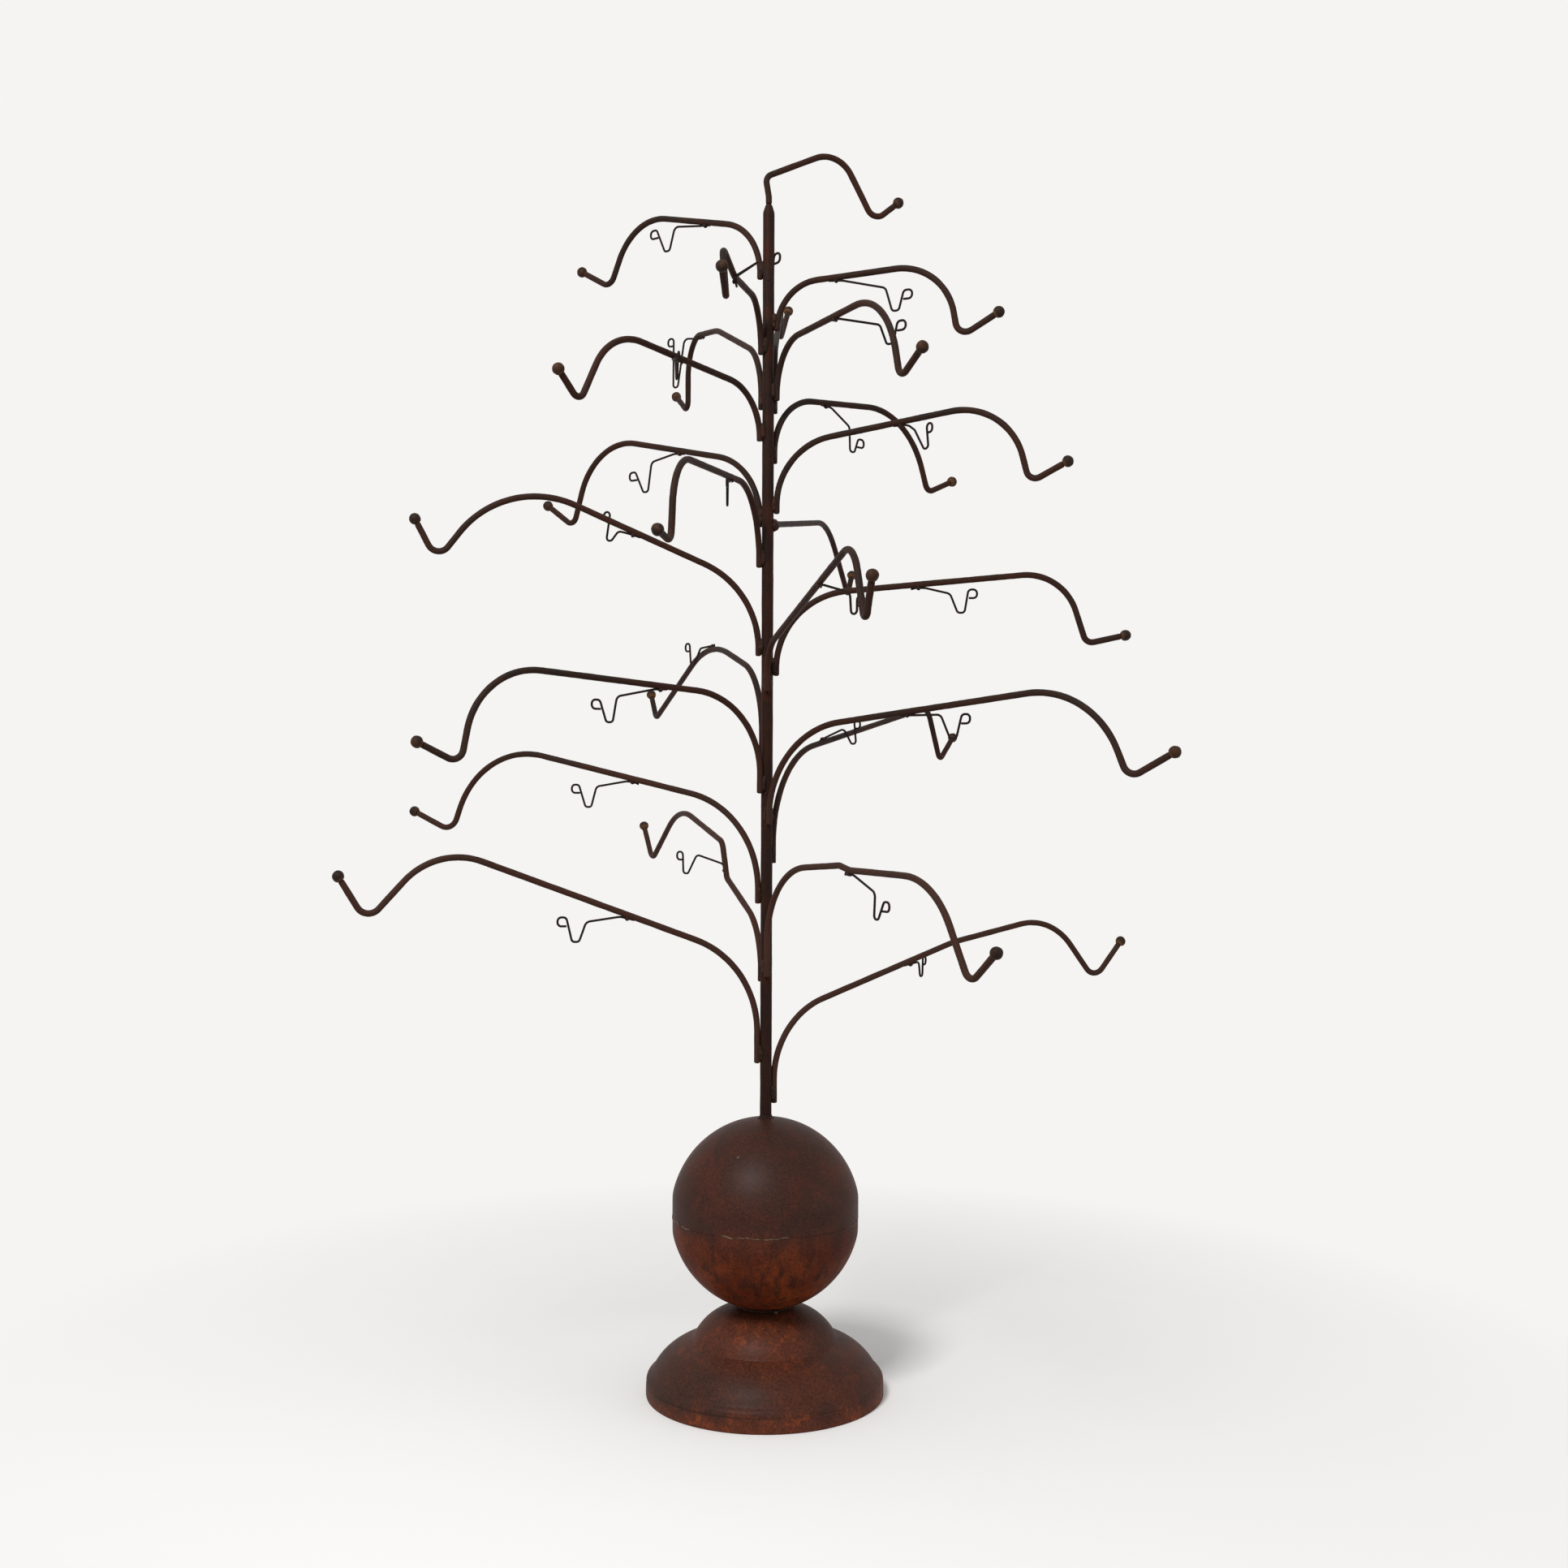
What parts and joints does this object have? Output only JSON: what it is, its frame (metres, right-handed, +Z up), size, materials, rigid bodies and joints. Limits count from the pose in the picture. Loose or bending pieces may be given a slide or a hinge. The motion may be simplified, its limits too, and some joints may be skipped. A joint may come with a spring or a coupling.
{
  "type": "ornament and mug display tree",
  "caption": "Free-standing welded iron tree: a round post on a hollow ball and pressed dish, with bent rod arms that end in ball-tipped hooks and carry small wire hooks.",
  "frame": {"origin": "on the floor, under the middle of the whole tree's bounding box; the post and the round base stand 33 mm towards -Y of it", "axes": "+Z up along the post, +X to the right and +Y away from the viewer as in the picture"},
  "size_m": [0.6546, 0.627, 1.0171],
  "materials": {
    "rusted_base": "dark brown rust with orange patches, satin",
    "rusted_ball": "dark brown to red-brown rust, satin sheen",
    "dark_post": "dark brown iron, satin",
    "dark_rod": "dark brown-black iron with worn grey tops and reddish undersides",
    "dark_wire": "nearly black iron wire",
    "finial_iron": "dark brown iron, a little worn",
    "weld_metal": "dark lumpy weld metal"
  },
  "bodies": {
    "root": {"arm_01": "dark_rod", "arm_02": "dark_rod", "arm_03": "dark_rod", "arm_04": "dark_rod", "arm_05": "dark_rod", "arm_06": "dark_rod", "arm_07": "dark_rod", "arm_08": "dark_rod", "arm_09": "dark_rod", "arm_10": "dark_rod", "arm_11": "dark_rod", "arm_12": "dark_rod", "arm_13": "dark_rod", "arm_14": "dark_rod", "arm_15": "dark_rod", "arm_16": "dark_rod", "arm_17": "dark_rod", "arm_18": "dark_rod", "arm_19": "dark_rod", "arm_20": "dark_rod", "arm_21": "dark_rod", "arm_22": "dark_rod", "arm_23": "dark_rod", "arm_24": "dark_rod", "arm_weld_beads": "weld_metal", "ball_seam_weld": "weld_metal", "ball_seat_weld": "weld_metal", "base_dish": "rusted_base", "crown_weld": "weld_metal", "finial_balls": "finial_iron", "foot_weld": "weld_metal", "hook_01": "dark_wire", "hook_02": "dark_wire", "hook_03": "dark_wire", "hook_04": "dark_wire", "hook_05": "dark_wire", "hook_07": "dark_wire", "hook_08": "dark_wire", "hook_09": "dark_wire", "hook_11": "dark_wire", "hook_12": "dark_wire", "hook_13": "dark_wire", "hook_14": "dark_wire", "hook_15": "dark_wire", "hook_16": "dark_wire", "hook_17": "dark_wire", "hook_18": "dark_wire", "hook_19": "dark_wire", "hook_20": "dark_wire", "hook_21": "dark_wire", "hook_22": "dark_wire", "hook_23": "dark_wire", "hook_24": "dark_wire", "hook_weld_beads": "weld_metal", "leader_arm": "dark_rod", "lower_ball_half": "rusted_ball", "post": "dark_post", "upper_ball_half": "rusted_ball"}
  },
  "joints": []
}
